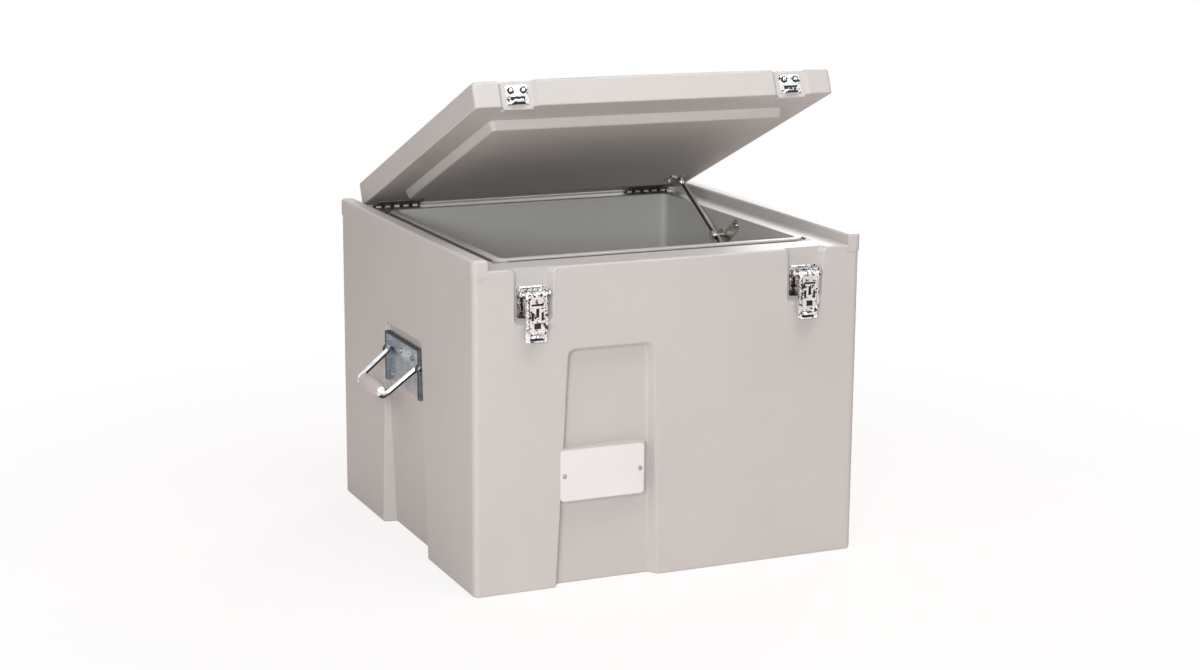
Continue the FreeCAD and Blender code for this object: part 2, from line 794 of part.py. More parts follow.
def strike(centre):
    """Strike plate with a turned-up hook, drawn with the lid closed."""
    face = lid_front + notch_depth
    foot = lid_under + strike_foot_rise
    half = strike_width / 2
    sheet = box(centre - half, centre + half, face - strike_sheet, face, foot, foot + strike_height)
    sheet = rounded(sheet, strike_corner, lambda edge: (
        runs_along(edge, AXIS_Y) and edge.CenterOfMass.z > foot + 1))
    hook_half = strike_hook_width / 2
    reach = face - strike_sheet - strike_hook_reach
    outline = [V(centre - hook_half, face - strike_sheet / 2, foot),
               V(centre - hook_half, reach + strike_hook_bend, foot),
               V(centre - hook_half, reach, foot + strike_hook_bend),
               V(centre - hook_half, reach, foot + strike_hook_height),
               V(centre - hook_half, reach + strike_sheet, foot + strike_hook_height),
               V(centre - hook_half, reach + strike_sheet, foot + strike_sheet + strike_hook_inside),
               V(centre - hook_half, face - strike_sheet / 2, foot + strike_sheet)]
    piece = sheet.fuse(plate(outline, V(strike_hook_width, 0, 0)))
    for x, z in strike_screw_places(centre):
        piece = piece.cut(rod(V(x, face + through, z), V(x, face - through, z),
                              screw_shank_radius + screw_clearance))
    return piece


def strike_screw_places(centre):
    z = lid_under + strike_foot_rise + strike_height - strike_screw_drop
    return [(centre + side * strike_screw_spacing / 2, z) for side in (-1, 1)]


def handle_screw_places():
    return [(handle_plate_centre + side * across, height)
            for across, height in (handle_screws_high, handle_screws_low) for side in (-1, 1)]


def handle_pivot():
    """The left bail's axis: x, z."""
    plate_face = -half_width + channel_seat_depth - handle_sheet
    return plate_face - handle_pivot_reach, handle_pivot_height


def handle_plate():
    """Left handle plate, flanged outwards along its top and both ends, with an ear on each end flange."""
    seat = -half_width + channel_seat_depth
    face = seat - handle_sheet
    reach = face - handle_flange_reach
    y0 = handle_plate_centre - handle_plate_width / 2
    y1 = handle_plate_centre + handle_plate_width / 2
    top = handle_plate_foot + handle_plate_height
    piece = box(face, seat, y0, y1, handle_plate_foot, top)
    piece = piece.fuse(box(reach, seat, y0, y1, top - handle_sheet, top))
    x, z = handle_pivot()
    for start in (y0, y1 - handle_sheet):
        flange = box(reach, seat, start, start + handle_sheet, handle_plate_foot, top)
        piece = piece.fuse([flange, rod(V(x, start, z), V(x, start + handle_sheet, z), handle_ear_radius)])
    piece = piece.removeSplitter()
    piece = rounded(piece, handle_flange_corner, lambda edge: (
        runs_along(edge, AXIS_Y) and edge.Length < 2 * handle_sheet
        and edge.CenterOfMass.x < reach + 1 and edge.CenterOfMass.z < handle_plate_foot + 1))
    piece = piece.cut(rod(V(x, y0 - 1, z), V(x, y1 + 1, z), bail_radius + pin_clearance))
    for y, height in handle_screw_places():
        piece = piece.cut(rod(V(seat + 1, y, height), V(face - 1, y, height),
                              screw_shank_radius + screw_clearance))
    return piece


def bail():
    """Left bail of round bar; its arms lean inwards and its ends turn out through the plate's ears."""
    x, z = handle_pivot()
    end = handle_plate_width / 2 + bail_end
    points = [V(x, -end, z), V(x, -bail_root_half_width, z), V(x - bail_arm, -bail_half_width, z),
              V(x - bail_arm, bail_half_width, z), V(x, bail_root_half_width, z), V(x, end, z)]
    shape = bent_rod(points, bail_radius, bail_bend_radius)
    shape.translate(V(0, handle_plate_centre, 0))
    shape.rotate(V(x, 0, z), -AXIS_Y, bail_drop_angle)
    return shape


def grip():
    """Left moulded grip, fuller in the middle, on the bail's cross bar."""
    x, z = handle_pivot()
    bar = x - bail_arm
    half = grip_length / 2
    bore = bail_radius + pin_clearance
    corner = grip_corner
    profile = [V(bar, -half, z + bore), V(bar, -half, z + grip_end_radius - corner)]
    for step in range(-grip_steps, grip_steps + 1):
        share = step / grip_steps
        swell = (grip_middle_radius - grip_end_radius) * math.cos(share * math.pi / 2)
        profile.append(V(bar, share * (half - corner), z + grip_end_radius + swell))
    profile += [V(bar, half, z + grip_end_radius - corner), V(bar, half, z + bore)]
    shape = Part.Face(Part.makePolygon(profile + profile[:1])).revolve(V(bar, 0, z), AXIS_Y, 360)
    shape.translate(V(0, handle_plate_centre, 0))
    shape.rotate(V(x, 0, z), -AXIS_Y, bail_drop_angle)
    return shape


def stay_stud():
    """The stud's middle on the wall: y, z."""
    return stay_stud_back, ledge_height - stay_stud_drop


def stay_wall_screws():
    """The wall plate's screws: y, z."""
    return [(back, ledge_height - drop) for back, drop in zip(stay_plate_screw_backs, stay_plate_screw_drops)]


def stay_pivot_closed():
    """The arm's pivot under the lid, lid closed: y, z."""
    return stay_bracket_back, lid_under - stay_bracket_drop


def stay_pivot_opened(angle):
    """The arm's pivot with the lid open by an angle in degrees: y, z."""
    y, z = stay_pivot_closed()
    turn = math.radians(angle)
    along = y - hinge_y
    up = z - hinge_z
    return (hinge_y + along * math.cos(turn) + up * math.sin(turn),
            hinge_z - along * math.sin(turn) + up * math.cos(turn))


def stay_reach(angle):
    """The distance from the arm's pivot to the stud with the lid open by an angle."""
    y, z = stay_pivot_opened(angle)
    stud_y, stud_z = stay_stud()
    return math.hypot(stud_y - y, stud_z - z)


def stay_reach_shut():
    """Where the knob stands with the lid closed, when it moves evenly with the lid."""
    rest = stay_reach(lid_open_angle)
    per_degree = (stay_reach(lid_full_angle) - rest) / (lid_full_angle - lid_open_angle)
    return rest - per_degree * lid_open_angle


def stay_plane():
    """The middle plane of the arm: x."""
    return cavity_half_width - stay_plane_gap


def along_stay(distance):
    """A point on the arm's middle line, measured from its pivot towards the stud."""
    y, z = stay_pivot_opened(lid_open_angle)
    stud_y, stud_z = stay_stud()
    span = stay_reach(lid_open_angle)
    return V(stay_plane(), y + (stud_y - y) * distance / span, z + (stud_z - z) * distance / span)


def bar_with_round_ends(start, end, radius, thickness):
    """A flat bar in an upright plane along the sides, centred on the plane."""
    way = (end - start).normalize()
    across = way.cross(AXIS_X) * radius
    shift = V(-thickness / 2, 0, 0)
    piece = plate([start - across + shift, end - across + shift, end + across + shift, start + across + shift],
                  V(thickness, 0, 0))
    for point in (start, end):
        piece = piece.fuse(rod(point + shift, point - shift, radius))
    return piece.removeSplitter()


def stay_arm():
    """Slotted arm from the lid's bracket down past the stud."""
    longest = stay_reach(lid_full_angle)
    arm = bar_with_round_ends(along_stay(0), along_stay(longest + stay_tail),
                              stay_arm_width / 2, stay_arm_sheet)
    slot = bar_with_round_ends(along_stay(stay_reach_shut()), along_stay(longest),
                               stay_slot_width / 2 + stay_slot_clearance, stay_arm_sheet + 2 * outside)
    end = along_stay(0)
    hole = rod(end - AXIS_X * through, end + AXIS_X * through, stay_pivot_radius + pin_clearance)
    return arm.cut(slot).cut(hole)


def stay_knob():
    """Clamp knob that runs in the arm's slot, with a washer on each side of the arm."""
    centre = along_stay(stay_reach(lid_open_angle))
    half = stay_arm_sheet / 2 + stay_washer_gap
    neck = rod(centre - V(half, 0, 0), centre + V(half, 0, 0), stay_slot_width / 2)
    washer = rod(centre + V(half, 0, 0), centre + V(half + stay_washer, 0, 0),
                 stay_knob_radius - stay_washer_step)
    head = rod(centre - V(half, 0, 0), centre - V(half + stay_knob_height, 0, 0), stay_knob_radius)
    return neck.fuse(washer).fuse(head).removeSplitter()


def stay_wall_plate():
    """Plate on the cavity's right wall with the stud that the arm hangs on."""
    wall = cavity_half_width
    middle = wall - stay_plate_sheet / 2
    first, second = [V(middle, *place) for place in stay_wall_screws()]
    stud = V(middle, *stay_stud())
    piece = bar_with_round_ends(first, second, stay_plate_width / 2, stay_plate_sheet)
    piece = piece.fuse(bar_with_round_ends(second, stud, stay_plate_width / 2, stay_plate_sheet))
    half = stay_arm_sheet / 2 + stay_washer_gap + stay_washer
    tip = V(stay_plane() + half + moving_gap, *stay_stud())
    piece = piece.fuse(rod(stud, tip, stay_stud_radius))
    for place in stay_wall_screws():
        piece = piece.cut(rod(V(wall + outside, *place), V(wall - stay_plate_sheet - outside, *place),
                              screw_shank_radius + screw_clearance))
    return piece.removeSplitter()


def stay_bracket():
    """Angle under the lid's plug that carries the arm's pivot, lid closed."""
    y, z = stay_pivot_closed()
    seat = lid_under - plug_depth
    inner = stay_plane() - stay_arm_sheet / 2 - moving_gap - stay_bracket_sheet
    tab = plate([V(inner, y - stay_tab_foot_half, seat), V(inner, y + stay_tab_foot_half, seat),
                 V(inner, y + stay_tab_nose_half, z - stay_tab_nose),
                 V(inner, y - stay_tab_nose_half, z - stay_tab_nose)], V(stay_bracket_sheet, 0, 0))
    foot = box(inner + stay_bracket_sheet - stay_bracket_foot, inner + stay_bracket_sheet,
               y - stay_bracket_length / 2, y + stay_bracket_length / 2, seat - stay_bracket_sheet, seat)
    foot = rounded(foot, stay_bracket_corner, lambda edge: runs_along(edge, AXIS_Z))
    piece = foot.fuse(tab)
    hole = rod(V(inner - through, y, z), V(inner + through, y, z), stay_pivot_radius + pin_clearance)
    piece = piece.cut(hole)
    for x, place in stay_bracket_screws():
        piece = piece.cut(rod(V(x, place, seat + outside), V(x, place, seat - stay_bracket_sheet - outside),
                              screw_shank_radius + screw_clearance))
    return piece


def stay_bracket_screws():
    y, z = stay_pivot_closed()
    x = stay_plane() - stay_arm_sheet / 2 - moving_gap - stay_bracket_sheet - stay_bracket_foot / 2
    return [(x, y + side * stay_bracket_screw_spacing / 2) for side in (-1, 1)]


def stay_rivet():
    """Rivet through the bracket's tab and the arm's end."""
    y, z = stay_pivot_closed()
    arm_half = stay_arm_sheet / 2
    inner = stay_plane() - arm_half - moving_gap - stay_bracket_sheet
    outer = stay_plane() + arm_half + moving_gap
    rivet = rod(V(inner, y, z), V(outer, y, z), stay_pivot_radius)
    head = stay_pivot_radius + stay_rivet_head_step
    rivet = rivet.fuse(rod(V(inner, y, z), V(inner - stay_rivet_head, y, z), head))
    return rivet.fuse(rod(V(outer, y, z), V(outer + stay_rivet_head, y, z), head))


def label_plate():
    sheet = box(label_left, label_left + label_width, front - label_sheet, front,
                label_foot, label_foot + label_height)
    sheet = rounded(sheet, label_corner_radius, lambda edge: runs_along(edge, AXIS_Y))
    for x, z in label_screw_places():
        sheet = sheet.cut(rod(V(x, front + 1, z), V(x, front - 3, z), screw_shank_radius + screw_clearance))
    return sheet


def label_screw_places():
    z = label_foot + label_height / 2
    return [(label_left + label_screw_inset, z), (label_left + label_width - label_screw_inset, z)]


def screw_group(places, inward, head_radius=screw_head_radius, head_height=screw_head_height):
    return Part.makeCompound([pan_screw(place, inward, head_radius, head_height) for place in places])


def countersunk_group(places, inward):
    return Part.makeCompound([countersunk_screw(place, inward) for place in places])


def build_body():
    foam = foam_space()
    save("body_skin", body_outer().cut(foam))
    save("body_foam", foam)
    save("label_plate", label_plate())
    save("label_screws", screw_group([V(x, front - label_sheet, z) for x, z in label_screw_places()], AXIS_Y,
                                     small_screw_head_radius, small_screw_head_height))


def build_lid():
    foam = lid_foam_space()
    save("lid_skin", opened(lid_outer().cut(foam)))
    save("lid_foam", opened(foam))


def build_hinges():
    body_screws = []
    lid_screws = []
    for side, centre in zip(("left", "right"), hinge_places):
        save(f"hinge_fixed_leaf_{side}", fixed_leaf(centre))
        save(f"hinge_moving_leaf_{side}", opened(moving_leaf(centre)))
        save(f"hinge_pin_{side}", hinge_pin(centre))
        for x, y in hinge_screw_places(centre):
            body_screws.append(V(x, y, ledge_height + hinge_leaf))
            lid_screws.append(V(x, y, lid_under - hinge_leaf))
    save("hinge_body_screws", countersunk_group(body_screws, -AXIS_Z))
    save("hinge_lid_screws", opened(countersunk_group(lid_screws, AXIS_Z)))


def build_latches():
    strike_screws = []
    face = pocket_floor - latch_sheet
    strike_face = lid_front + notch_depth - strike_sheet
    for side, centre in zip(("left", "right"), latch_places):
        save(f"latch_base_{side}", latch_base(centre))
        save(f"latch_pin_{side}", latch_pin(centre))
        save(f"latch_lever_{side}", latch_lever(centre))
        save(f"latch_claw_{side}", latch_claw(centre))
        save(f"latch_claw_pin_{side}", latch_claw_pin(centre))
        save(f"latch_screws_{side}", countersunk_group([V(x, face, z) for x, z in latch_screw_places(centre)],
                                                       AXIS_Y))
        save(f"strike_{side}", opened(strike(centre)))
        strike_screws.extend(V(x, strike_face, z) for x, z in strike_screw_places(centre))
    save("strike_screws", opened(screw_group(strike_screws, AXIS_Y)))


def build_handles():
    face = -half_width + channel_seat_depth - handle_sheet
    screws = screw_group([V(face, y, z) for y, z in handle_screw_places()], AXIS_X)
    pieces = {"handle_plate": handle_plate(), "handle_screws": screws, "bail": bail(), "grip": grip()}
    for name, shape in pieces.items():
        save(f"{name}_left", shape)
        save(f"{name}_right", mirrored(shape))


def build_stay():
    wall_face = cavity_half_width - stay_plate_sheet
    under = lid_under - plug_depth - stay_bracket_sheet
    save("stay_wall_plate", stay_wall_plate())
    save("stay_wall_screws", screw_group([V(wall_face, *place) for place in stay_wall_screws()], AXIS_X))
    save("stay_bracket", opened(stay_bracket()))
    save("stay_bracket_screws", opened(screw_group([V(x, y, under) for x, y in stay_bracket_screws()], AXIS_Z)))
    save("stay_rivet", opened(stay_rivet()))
    save("stay_arm", stay_arm())
    save("stay_knob", stay_knob())


os.makedirs("parts", exist_ok=True)
build_body()
build_lid()
build_hinges()
build_latches()
build_handles()
build_stay()
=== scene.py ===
import bpy
import math
from mathutils import Matrix, Vector


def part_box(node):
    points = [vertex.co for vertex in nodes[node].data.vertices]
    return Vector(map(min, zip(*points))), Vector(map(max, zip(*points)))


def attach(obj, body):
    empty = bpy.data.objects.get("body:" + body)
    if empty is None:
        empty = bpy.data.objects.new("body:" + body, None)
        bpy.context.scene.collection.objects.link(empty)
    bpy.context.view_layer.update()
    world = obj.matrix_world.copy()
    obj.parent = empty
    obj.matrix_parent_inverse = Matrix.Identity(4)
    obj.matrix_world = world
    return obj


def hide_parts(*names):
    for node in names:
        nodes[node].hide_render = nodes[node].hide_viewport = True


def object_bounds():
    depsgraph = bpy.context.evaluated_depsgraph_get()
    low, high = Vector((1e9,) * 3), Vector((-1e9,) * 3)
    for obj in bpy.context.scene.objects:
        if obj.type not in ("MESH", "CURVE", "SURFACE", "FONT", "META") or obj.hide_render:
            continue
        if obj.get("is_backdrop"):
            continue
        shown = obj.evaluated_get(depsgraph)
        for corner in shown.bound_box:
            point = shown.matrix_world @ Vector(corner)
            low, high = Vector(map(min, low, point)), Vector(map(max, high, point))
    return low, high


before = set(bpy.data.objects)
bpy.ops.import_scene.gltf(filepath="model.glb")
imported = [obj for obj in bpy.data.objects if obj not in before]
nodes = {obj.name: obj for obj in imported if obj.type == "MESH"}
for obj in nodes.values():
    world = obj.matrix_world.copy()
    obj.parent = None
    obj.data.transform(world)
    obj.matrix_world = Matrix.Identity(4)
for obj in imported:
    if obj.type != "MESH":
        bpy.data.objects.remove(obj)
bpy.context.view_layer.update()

MM = 0.001

# Colours, linear
MOULDED = (0.508, 0.488, 0.470, 1)
CHROME = (0.93, 0.94, 0.95, 1)
# Chrome darkened as painted shade on the latch's base plate
CHROME_IN_SHADE = (0.30, 0.28, 0.29, 1)
# Dark spots painted into chrome as painted reflections
DARK_REFLECTION_TONE = (0.05, 0.05, 0.06, 1)
ZINC = (0.35, 0.405, 0.455, 1)
PALE_ZINC = (0.78, 0.80, 0.78, 1)
STEEL = (0.60, 0.55, 0.50, 1)
DARK_FILM = (0.20, 0.16, 0.14, 1)
PALE_FILM = (0.42, 0.35, 0.31, 1)
# Pale steel for the painted highlight on the stay arm's rails
RAIL_HIGHLIGHT = (0.92, 0.86, 0.82, 1)
DARK_STEEL = (0.05, 0.05, 0.055, 1)
GRIP = (0.53, 0.48, 0.475, 1)
ENAMEL = (0.72, 0.705, 0.70, 1)
# Near-black for painted shade in grooves, slots, seams and undersides
SHADE_BLACK = (0.035, 0.03, 0.03, 1)
# Near-white painted highlight for the hinge knuckles
KNUCKLE_HIGHLIGHT = (0.94, 0.92, 0.91, 1)
LEAF = (0.15, 0.125, 0.115, 1)
FOAM = (0.75, 0.66, 0.40, 1)

# Places shared by the pieces, in mm, in the CAD's frame
LATCH_MIDDLES = {"left": -211.0, "right": 211.0}
HINGE_Y, HINGE_Z = 268.5, 466.0
HINGE_MIDDLE, HINGE_LENGTH, KNUCKLES, BARREL = 217.0, 76.0, 5, 5.0
LID_TURN = math.radians(-22.5)
GROOVE_OUTER, GROOVE_INNER = (251.0, 242.0), (243.4, 234.0)
GROOVE_FLOOR, GROOVE_TOP = 458.25, 462.0
BAIL_X, BAIL_Z, BAIL_DROP = 300.5, 281.0, math.radians(38)
PLATE_TOP, PLATE_REACH, PLATE_FLANGE = 309.0, 303.0, 296.25
LATCH_SHADE = 423.5
STAY_TOP, STAY_STUD = (139.43, 496.73), (16.5, 430.0)

# A screw's domed head stands this many times as high as its rim
DOME = 1.4
FORWARD, UPWARD, DOWNWARD = (0, -1, 0), (0, 0, 1), (0, 0, -1)


class Sock:
    """A shader socket, or a plain number, that Python's operators turn into Math nodes."""

    def __init__(self, maker, value):
        self.maker = maker
        self.value = value

    def _with(self, operation, *others):
        return self.maker.make("ShaderNodeMath", {"operation": operation}, [self, *others])

    def __add__(self, other):
        return self._with("ADD", other)

    def __radd__(self, other):
        return self._with("ADD", other)

    def __sub__(self, other):
        return self._with("SUBTRACT", other)

    def __rsub__(self, other):
        return self.maker.make("ShaderNodeMath", {"operation": "SUBTRACT"}, [other, self])

    def __mul__(self, other):
        return self._with("MULTIPLY", other)

    def __rmul__(self, other):
        return self._with("MULTIPLY", other)

    def __truediv__(self, other):
        return self._with("DIVIDE", other)

    def __pow__(self, other):
        return self._with("POWER", other)

    def __abs__(self):
        return self._with("ABSOLUTE")

    def fract(self):
        return self._with("FRACT")

    def smooth(self, low, high):
        """0 below low, 1 above high, and a soft step between them."""
        return self.maker.make("ShaderNodeMapRange", {"interpolation_type": "SMOOTHSTEP"},
                               {"Value": self, "From Min": low, "From Max": high})

    def past(self, middle, half):
        """0 before a place in mm and 1 past it, with a soft step of some half width in mm."""
        return self.smooth((middle - half) * MM, (middle + half) * MM)


class Finish:
    """One material under construction."""

    def __init__(self, name, colour, roughness, metallic=0.0):
        self.material = bpy.data.materials.new(name)
        self.material.use_nodes = True
        self.material.diffuse_color = colour
        self.tree = self.material.node_tree
        self.shader = self.tree.nodes["Principled BSDF"]
        self.shader.inputs["Base Color"].default_value = colour
        self.shader.inputs["Roughness"].default_value = roughness
        self.shader.inputs["Metallic"].default_value = metallic
        self.place = self.make("ShaderNodeTexCoord", {}, {}, "Object")

    def put(self, socket, value):
        if isinstance(value, Sock):
            self.tree.links.new(value.value, socket)
        else:
            socket.default_value = value

    def make(self, kind, settings, values, output=0):
        """Adds a node, sets it up, then fills or links its sockets."""
        node = self.tree.nodes.new(kind)
        for key, value in settings.items():
            setattr(node, key, value)
        pairs = values.items() if isinstance(values, dict) else enumerate(values)
        for key, value in pairs:
            self.put(node.inputs[key], value)
        return Sock(self, node.outputs[output])

    def noise(self, scale, detail=3.0, rough=0.55, place=None):
        return self.make("ShaderNodeTexNoise", {}, {"Vector": place or self.place, "Scale": scale,
                                                   "Detail": detail, "Roughness": rough}, "Fac")

    def mix(self, share, first, second, blend="MIX"):
        return self.make("ShaderNodeMix", {"data_type": "RGBA", "blend_type": blend},
                         {0: share, 6: first, 7: second}, 2)

    def split(self):
        """X, Y and Z of the place on the object."""
        node = self.tree.nodes.new("ShaderNodeSeparateXYZ")
        self.tree.links.new(self.place.value, node.inputs[0])
        return [Sock(self, output) for output in node.outputs]

    def stretched(self, scale):
        return self.make("ShaderNodeMapping", {}, {"Vector": self.place, "Scale": scale})

    def bump(self, height, strength, distance):
        normal = self.make("ShaderNodeBump", {},
                           {"Height": height, "Strength": strength, "Distance": distance})
        self.put(self.shader.inputs["Normal"], normal)

    def set(self, **values):
        for key, value in values.items():
            self.put(self.shader.inputs[key.replace("_", " ")], value)


def shade(colour, amount):
    """The colour made darker or lighter."""
    return tuple(min(1.0, channel * amount) for channel in colour[:3]) + (1,)


def moulded_plastic(name, colour, shaded_groove=False):
    """Rotationally moulded polyethylene: satin, with a fine pebble grain and a very slight mottle.

    The body's own has painted shade in the groove round the mouth.
    """
    finish = Finish(name, colour, 0.45)
    cloud = finish.noise(5, 3)
    mottle = finish.noise(120, 3)
    grain = finish.noise(1100, 2)
    pebble = finish.noise(2600, 1)
    share = (cloud * 0.75 + mottle * 0.25).smooth(0.3, 0.7)
    tone = finish.mix(share, shade(colour, 0.975), shade(colour, 1.025))
    if shaded_groove:
        x, y, z = finish.split()
        wide, deep = abs(x), abs(y)
        (outer_x, outer_y), (inner_x, inner_y) = GROOVE_OUTER, GROOVE_INNER
        inside = (1 - wide.past(outer_x, 0.2)) * (1 - deep.past(outer_y, 0.2))
        outside = 1 - (1 - wide.past(inner_x, 0.2)) * (1 - deep.past(inner_y, 0.2))
        # Painted shade: a dark band in the groove and at the lip's foot round the mouth
        groove_shade = (1 - z.past(GROOVE_TOP, 0.8)) * z.past(GROOVE_FLOOR, 0.25) * inside * outside
        tone = finish.mix(groove_shade * 0.75, tone, SHADE_BLACK)
    finish.set(Base_Color=tone, Roughness=0.42 + 0.12 * grain)
    finish.bump(grain * 0.6 + pebble * 0.4 + cloud * 0.3, 0.22, 0.0005)
    return finish.material


def foam_surface():
    """Cut rigid foam: small open cells."""
    finish = Finish("foam_core", FOAM, 0.9)
    cells = finish.make("ShaderNodeTexVoronoi", {}, {"Vector": finish.place, "Scale": 420.0}, "Distance")
    finish.set(Base_Color=finish.mix(cells, shade(FOAM, 0.8), FOAM))
    finish.bump(cells, 0.4, 0.0008)
    return finish.material


def bright_chrome(name, wave, dark_reflection_level=0.57, ripple_depth=0.0012, shaded=None):
    """Pressed sheet with decorative chrome: bright, rippled from the press, with random dark spots
    painted in as dark reflections.

    The latch's base plate has painted shade below its ears, where it stands deep in the pocket.
    """
    finish = Finish(name, CHROME, 0.08, 1.0)
    ripple = finish.noise(wave, 3)
    fine = finish.noise(wave * 5, 2)
    # Painted reflection: random dark spots stand for dark surroundings seen in the chrome
    dark_reflections = finish.noise(wave * 1.3, 3, 0.6).smooth(dark_reflection_level, dark_reflection_level + 0.03)
    tone = CHROME
    if shaded:
        x, y, z = finish.split()
        tone = finish.mix(z.past(LATCH_SHADE, 1.0), shaded, CHROME)
    finish.set(Base_Color=finish.mix(dark_reflections, tone, DARK_REFLECTION_TONE),
               Roughness=0.07 + 0.10 * fine + 0.15 * dark_reflections)
    finish.bump(ripple + fine * 0.08, 0.6, ripple_depth)
    return finish.material


def zinc_plate():
    """Bluish passivated zinc with soft clouds, fine rolling streaks, and painted shade along the flanges'
    outer edges and over the top flange.
    """
    finish = Finish("zinc_passivated", ZINC, 0.3, 1.0)
    cloud = finish.noise(45, 4, 0.65)
    streak = finish.noise(60, 3, place=finish.stretched((1, 1, 9)))
    blue = finish.mix(cloud.smooth(0.3, 0.7), shade(ZINC, 0.78), shade(ZINC, 1.12))
    x, y, z = finish.split()
    wide = abs(x)
    # Painted shade: the flanges' outer edges and the top flange are darkened
    rim = wide.past(PLATE_REACH - 0.65, 0.25)
    crown = z.past(PLATE_TOP - 0.35, 0.15) * wide.past(PLATE_FLANGE, 0.75)
    pale = finish.mix(streak.smooth(0.35, 0.75) * 0.35, blue, PALE_ZINC)
    flange_shade = (rim + crown).smooth(0.1, 0.9)
    finish.set(Base_Color=finish.mix(flange_shade * 0.85, pale, SHADE_BLACK),
               Roughness=0.26 + 0.16 * cloud + 0.2 * flange_shade)
    finish.bump(cloud + streak * 0.3, 0.12, 0.0006)
    return finish.material


def bright_wire():
    """Polished round bar, with painted shade along its underside."""
    finish = Finish("bright_wire", CHROME, 0.12, 1.0)
    cloud = finish.noise(90, 3)
    x, y, z = finish.split()
    out, up = abs(x) - BAIL_X * MM, z - BAIL_Z * MM
    height = out * math.sin(BAIL_DROP) + up * math.cos(BAIL_DROP)
    # Painted shade along the bar's underside
    underside_shade = 1 - height.past(0.8, 0.5)
    bright = finish.mix(cloud.smooth(0.4, 0.7), CHROME, shade(CHROME, 0.80))
    finish.set(Base_Color=finish.mix(underside_shade * 0.93, bright, SHADE_BLACK),
               Roughness=0.10 + 0.12 * cloud + 0.2 * underside_shade)
    finish.bump(cloud, 0.1, 0.0004)
    return finish.material


def rolled_steel(name, colour, rough):
    """Plain rolled steel with a brownish film and fine length-wise streaks."""
    finish = Finish(name, colour, rough, 1.0)
    film = finish.noise(50, 4, 0.6)
    streak = finish.noise(500, 2, place=finish.stretched((4, 1, 1)))
    finish.set(Base_Color=finish.mix(film.smooth(0.3, 0.7), shade(colour, 0.74), shade(colour, 1.15)),
               Roughness=rough + 0.12 * film + 0.06 * streak)
    finish.bump(film + streak * 0.2, 0.15, 0.0004)
    return finish.material


def stay_bar():
    """The slotted arm's rolled bar: a painted highlight along both rails and painted shade in the slot.
    """
    finish = Finish("stay_bar", STEEL, 0.3, 0.8)
    x, y, z = finish.split()
    (top_y, top_z), (stud_y, stud_z) = STAY_TOP, STAY_STUD
    length = math.hypot(stud_y - top_y, stud_z - top_z)
    rise, run = (top_z - stud_z) / length, (top_y - stud_y) / length
    across = abs((y - top_y * MM) * rise - (z - top_z * MM) * run)
    film = finish.noise(80, 4, 0.6)
    # Painted highlight on the rails and painted shade down the slot
    rails = across.past(4.1, 0.5)
    slot_shade = 1 - across.past(2.9, 0.2)
    plain = finish.mix(film.smooth(0.3, 0.7), DARK_FILM, PALE_FILM)
    highlighted = finish.mix(rails, plain, RAIL_HIGHLIGHT)
    finish.set(Base_Color=finish.mix(slot_shade, highlighted, SHADE_BLACK), Roughness=0.24 + 0.14 * film)
    finish.bump(film, 0.15, 0.0004)
    return finish.material


def hinge_zinc():
    """Knuckles painted near-white as a painted highlight, painted shade in the seams between them, and
    browned leaves.
    """
    finish = Finish("hinge_zinc", KNUCKLE_HIGHLIGHT, 0.35, 0.15)
    cloud = finish.noise(160, 3)
    x, y, z = finish.split()
    away_y, away_z = y - HINGE_Y * MM, z - HINGE_Z * MM
    knuckle = 1 - ((away_y * away_y + away_z * away_z) ** 0.5).past(BARREL + 0.3, 0.3)
    browned = finish.mix(cloud.smooth(0.35, 0.7), LEAF, shade(LEAF, 1.5))
    # Painted highlight on the knuckles, painted shade in the seams between them
    highlight_tone = finish.mix(knuckle, browned, KNUCKLE_HIGHLIGHT)
    start = (HINGE_MIDDLE - HINGE_LENGTH / 2) * MM
    pitch = HINGE_LENGTH / KNUCKLES * MM
    seam_shade = abs(((abs(x) - start) / pitch).fract() - 0.5).smooth(0.24, 0.32)
    finish.set(Base_Color=finish.mix(knuckle * seam_shade, highlight_tone, SHADE_BLACK),
               Roughness=0.3 + 0.15 * cloud)
    finish.bump(cloud, 0.12, 0.0004)
    return finish.material


def enamel_plate():
    """Plain white enamelled plate, glossy, with a faint unevenness."""
    finish = Finish("white_enamel", ENAMEL, 0.3)
    cloud = finish.noise(14, 2)
    orange = finish.noise(650, 2)
    finish.set(Base_Color=finish.mix(cloud.smooth(0.3, 0.7), shade(ENAMEL, 0.985), shade(ENAMEL, 1.01)),
               Roughness=0.26 + 0.08 * orange)
    finish.bump(orange, 0.05, 0.0003)
    return finish.material


moulded = moulded_plastic("moulded_shell", MOULDED)
chrome = bright_chrome("chrome_plate", 110)
latch_chrome = bright_chrome("chrome_pressed", 170, 0.565, 0.003)
base_chrome = bright_chrome("chrome_shaded", 200, 0.54, 0.002, CHROME_IN_SHADE)
zinc = zinc_plate()
wire = bright_wire()
steel = rolled_steel("stay_steel", STEEL, 0.24)
# Near-black steel for the dark pieces that stand for painted shade
shade_dark_steel = rolled_steel("painted_shade_steel", DARK_STEEL, 0.4)
grip_plastic = moulded_plastic("grip_plastic", GRIP)
enamel = enamel_plate()

